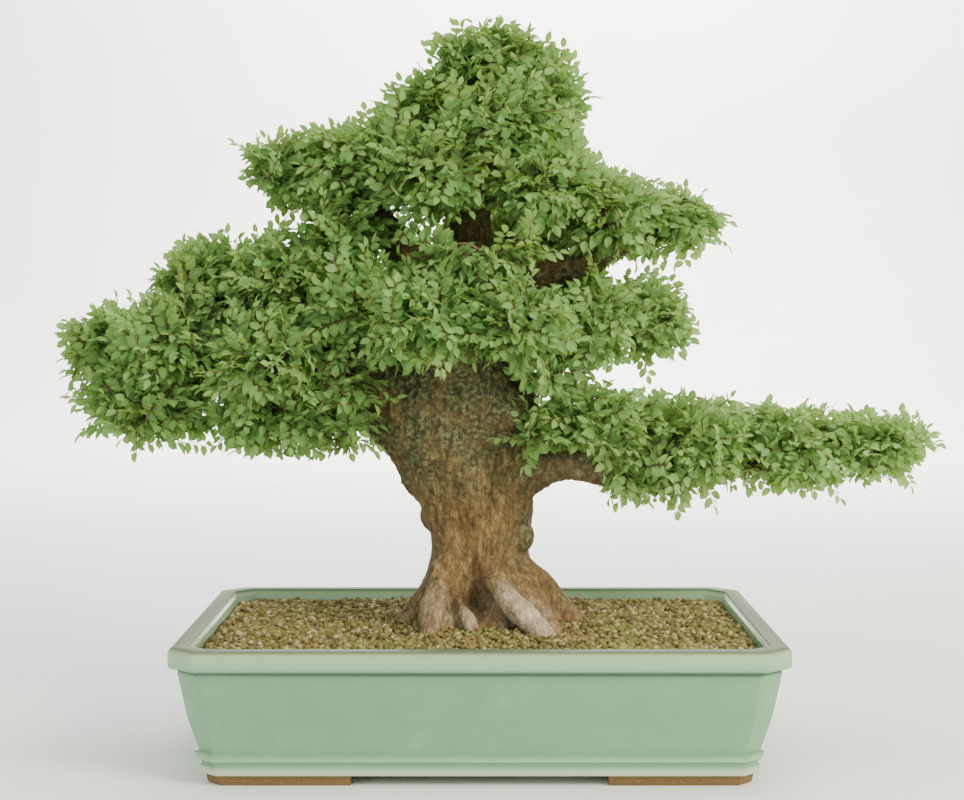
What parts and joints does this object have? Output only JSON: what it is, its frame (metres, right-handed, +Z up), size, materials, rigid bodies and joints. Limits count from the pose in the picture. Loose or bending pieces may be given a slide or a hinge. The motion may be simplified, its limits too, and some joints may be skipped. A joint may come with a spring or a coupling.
{
  "type": "elm bonsai tree in a pot",
  "caption": "Broad elm bonsai with a short thick trunk, surface roots, tiered leaf heads and a long low branch, standing in a rectangular glazed pot with cut corners.",
  "frame": {"origin": "on the surface the pot stands on, under the middle of the whole object's spread", "axes": "+X to the tip of the long low branch, which is the tree's right seen from the front; +Y to the back of the pot; +Z up"},
  "size_m": [0.7763, 0.36, 0.6318],
  "materials": {
    "celadon_glaze": "pale green celadon glaze, glossy, unglazed tan feet",
    "soil_granules": "dull tan baked-clay granules, 4 to 6 mm",
    "elm_bark": "rough brown bark with moss on the head of the trunk",
    "elm_leaf": null,
    "screen_plastic": "matt black mesh"
  },
  "bodies": {
    "root": {"pot": "celadon_glaze", "soil": "soil_granules", "drain_screen_left": "screen_plastic", "drain_screen_right": "screen_plastic", "trunk_roots_and_branches": "elm_bark", "leaves_apex_top": "elm_leaf", "leaves_apex_left": "elm_leaf", "leaves_apex_right": "elm_leaf", "leaves_apex_front": "elm_leaf", "leaves_apex_back": "elm_leaf", "leaves_upper_left_tip": "elm_leaf", "leaves_upper_left_front": "elm_leaf", "leaves_upper_left_back": "elm_leaf", "leaves_upper_left_inner": "elm_leaf", "leaves_left_shoulder": "elm_leaf", "leaves_upper_right_inner": "elm_leaf", "leaves_upper_right_front": "elm_leaf", "leaves_upper_right_back": "elm_leaf", "leaves_upper_right_tip": "elm_leaf", "leaves_left_top_tip": "elm_leaf", "leaves_left_top_front": "elm_leaf", "leaves_left_top_inner": "elm_leaf", "leaves_left_top_back": "elm_leaf", "leaves_left_far_tip": "elm_leaf", "leaves_left_far_low": "elm_leaf", "leaves_left_far_front": "elm_leaf", "leaves_left_far_back": "elm_leaf", "leaves_left_near_low": "elm_leaf", "leaves_left_near_front": "elm_leaf", "leaves_left_near_back": "elm_leaf", "leaves_centre_front_left": "elm_leaf", "leaves_centre_front_right": "elm_leaf", "leaves_centre_front_high": "elm_leaf", "leaves_middle_right_tip": "elm_leaf", "leaves_middle_right_front": "elm_leaf", "leaves_middle_right_back": "elm_leaf", "leaves_low_right_inner": "elm_leaf", "leaves_low_right_middle": "elm_leaf", "leaves_low_right_outer": "elm_leaf", "leaves_low_right_tip": "elm_leaf", "leaves_low_right_back": "elm_leaf", "leaves_back_high": "elm_leaf", "leaves_back_middle": "elm_leaf", "leaves_back_low": "elm_leaf"}
  },
  "joints": []
}
